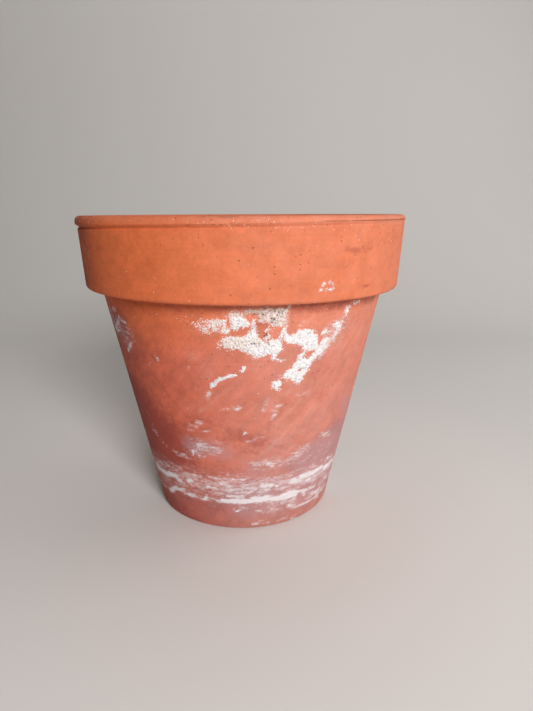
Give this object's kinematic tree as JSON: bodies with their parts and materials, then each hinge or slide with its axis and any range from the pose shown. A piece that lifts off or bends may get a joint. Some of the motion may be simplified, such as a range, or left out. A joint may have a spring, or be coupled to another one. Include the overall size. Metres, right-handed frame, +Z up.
{
  "type": "flower pot",
  "caption": "Tapered flower pot in fired clay with a thick collar round its mouth and a drain hole in its floor, with crusts of lime grown on the wall below the collar.",
  "frame": {"origin": "centre of the foot, on the plane the pot stands on", "axes": "+Z up along the pot's axis, from the foot to the mouth. -Y is the side that carries the lime crusts, and +X is to the right seen from that side"},
  "size_m": [0.1572, 0.1572, 0.147],
  "materials": {
    "terracotta": "unglazed, matt, weathered",
    "lime": "chalky and rough"
  },
  "bodies": {
    "root": {"clay_body": "terracotta", "lime_crust_under_collar": "lime", "lime_crust_shoulder": "lime", "lime_crust_streak": "lime", "lime_crust_drop": "lime", "lime_bead": "lime"}
  },
  "joints": []
}
